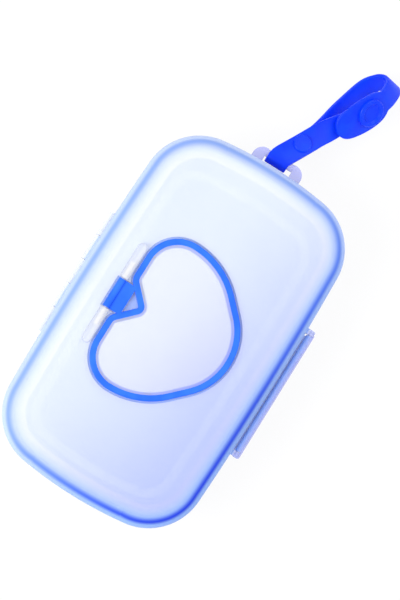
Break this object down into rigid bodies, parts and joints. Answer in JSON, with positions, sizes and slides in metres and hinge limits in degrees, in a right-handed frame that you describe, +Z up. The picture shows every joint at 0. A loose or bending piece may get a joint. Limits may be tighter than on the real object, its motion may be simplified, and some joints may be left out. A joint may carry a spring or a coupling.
{
  "type": "wipes dispenser",
  "caption": "Travel box for baby wipes: tray, hinged lid with a heart-shaped dispensing cover, front latch flap, soft seal and a snap-closed carry strap.",
  "frame": {"origin": "centre of the tray's underside, on the plane it stands on", "axes": "+X along the box towards the strap, +Y towards the lid's hinge, -Y towards the latch, +Z up"},
  "size_m": [0.248, 0.112, 0.0454],
  "materials": {
    "frosted_shell": "frosted, translucent",
    "clear_lilac": "clear, tinted lilac",
    "clear_block": "clear, glossy",
    "blue_soft": "satin, soft to the touch",
    "pin_steel": "bright"
  },
  "bodies": {
    "tray": {"base_tray": "frosted_shell", "hinge_pin": "pin_steel"},
    "lid": {"lid_shell": "frosted_shell", "lid_seal": "blue_soft", "latch_pin": "pin_steel", "cover_pin": "clear_block", "pivot_block_left": "clear_block", "pivot_block_right": "clear_block"},
    "cover": {"cover_panel": "frosted_shell", "cover_ring": "blue_soft"},
    "latch": {"latch_flap": "clear_lilac"},
    "strap": {"strap_band": "blue_soft", "strap_rivet": "blue_soft", "snap_socket": "blue_soft"},
    "strap_end": {"strap_tab": "blue_soft", "snap_button": "blue_soft"}
  },
  "joints": [
    {"name": "lid_hinge", "type": "hinge", "parent": "tray", "child": "lid", "pos_m": [0, 0.0526, 0.02715], "axis": [-1, 0, 0], "range_deg": [0, 120]},
    {"name": "cover_hinge", "type": "hinge", "parent": "lid", "child": "cover", "pos_m": [0, 0.0326, 0.0433], "axis": [-1, 0, 0], "range_deg": [0, 120]},
    {"name": "latch_hinge", "type": "hinge", "parent": "lid", "child": "latch", "pos_m": [0, -0.0544, 0.0335], "axis": [-1, 0, 0], "range_deg": [0, 100]},
    {"name": "strap_swing", "type": "hinge", "parent": "tray", "child": "strap", "pos_m": [0.0944, 0, 0.02545], "axis": [0, -1, 0], "range_deg": [-50, 100]},
    {"name": "strap_snap", "type": "hinge", "parent": "strap", "child": "strap_end", "pos_m": [0.1581, -0.02511, 0.00832], "axis": [0, 0.7431, 0.6691], "range_deg": [0, 60]}
  ]
}
